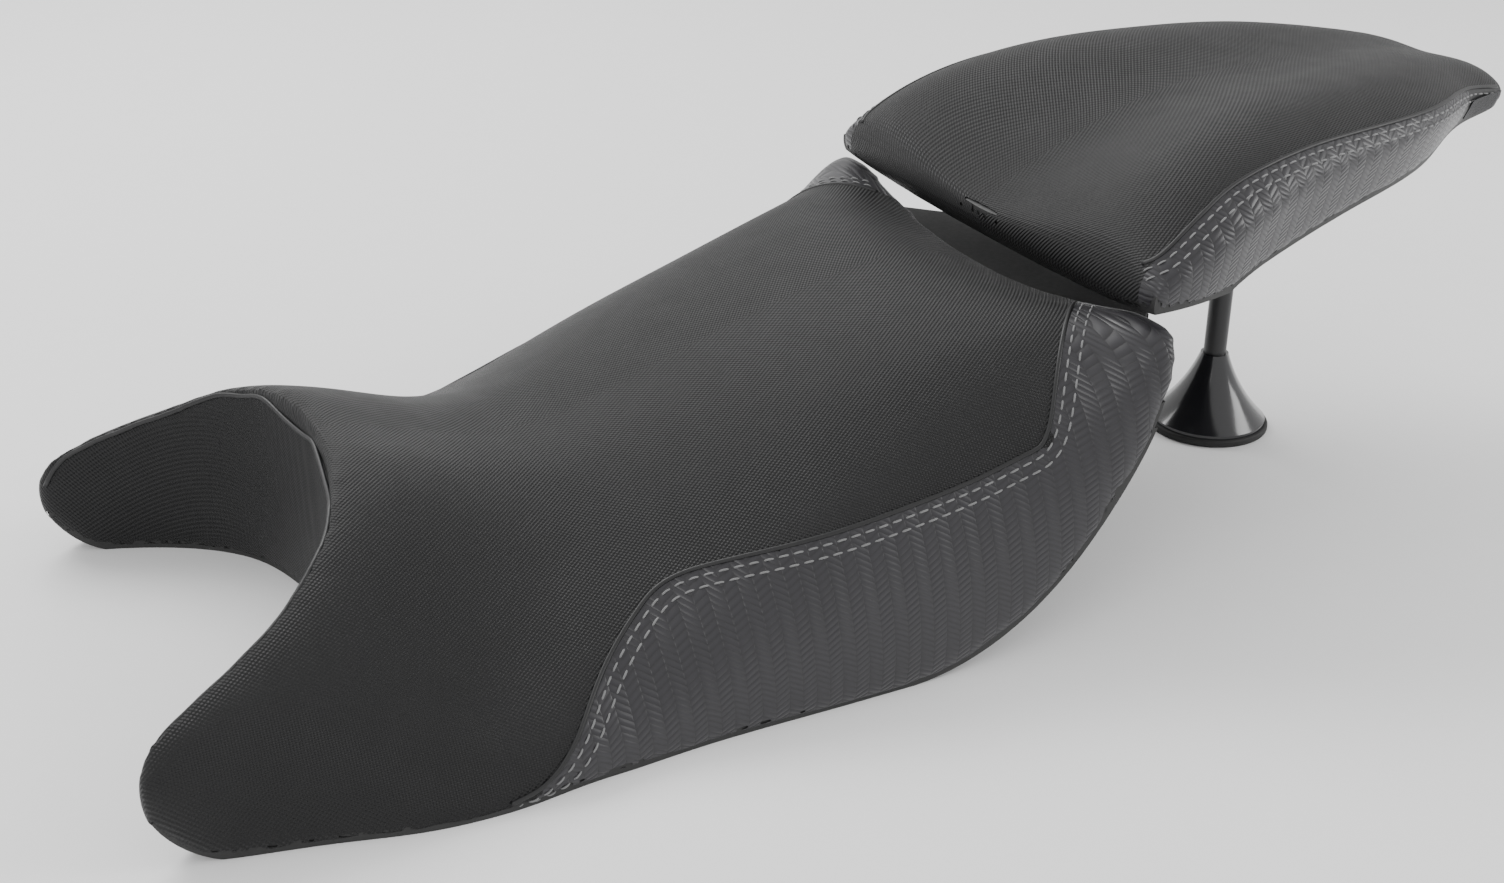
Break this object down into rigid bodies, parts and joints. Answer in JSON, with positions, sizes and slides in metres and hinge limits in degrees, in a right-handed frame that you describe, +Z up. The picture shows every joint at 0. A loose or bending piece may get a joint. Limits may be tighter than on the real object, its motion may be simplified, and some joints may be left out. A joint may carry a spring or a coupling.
{
  "type": "motorcycle seat set",
  "caption": "Motorcycle rider saddle with forward wings round the tank, a tapered passenger seat behind it and a small conical stand holding the passenger seat up.",
  "frame": {"origin": "middle of the bounding box, on the surface the saddle's lower edge and the stand's foot rest on", "axes": "+X towards the rear of the motorcycle, +Y towards its right side, +Z up"},
  "size_m": [0.783, 0.3512, 0.2226],
  "materials": {
    "top_vinyl": "matte woven emboss",
    "side_vinyl": "satin chevron emboss",
    "tail_vinyl": "matte",
    "foam": "matte open-cell foam",
    "pan_plastic": "matte",
    "steel_black": "satin",
    "steel": "brushed",
    "rubber": "matte",
    "label_fabric": "woven",
    "cone_gloss": "gloss"
  },
  "bodies": {
    "rider_seat": {"rider_base_pan": "pan_plastic", "rider_bracket_screws": "steel", "rider_cover_rear": "top_vinyl", "rider_cover_side_left": "side_vinyl", "rider_cover_side_right": "side_vinyl", "rider_cover_tank_wall": "top_vinyl", "rider_cover_top": "top_vinyl", "rider_foam": "foam", "rider_front_hook": "steel_black", "rider_rear_bracket": "steel_black", "rider_rubber_buffers": "rubber", "rider_rear_flange": "pan_plastic"},
    "passenger_seat": {"passenger_base_pan": "pan_plastic", "passenger_cover_side_left": "side_vinyl", "passenger_cover_side_right": "side_vinyl", "passenger_cover_tail": "tail_vinyl", "passenger_cover_top": "top_vinyl", "passenger_foam": "foam", "passenger_latch_striker": "steel", "passenger_side_label": "label_fabric", "passenger_striker_screws": "steel", "passenger_support_pad": "rubber"},
    "display_stand": {"stand_ballast": "steel", "stand_cone": "cone_gloss", "stand_foot_ring": "rubber", "stand_head": "cone_gloss", "stand_head_pad": "rubber", "stand_neck": "steel_black"}
  },
  "joints": [
    {"name": "passenger_lift_off", "type": "slide", "parent": "rider_seat", "child": "passenger_seat", "axis": [0, 0, 1], "range_m": [0, 0.2]},
    {"name": "stand_pull_out", "type": "slide", "parent": "rider_seat", "child": "display_stand", "axis": [1, 0, 0], "range_m": [0, 0.25]}
  ]
}
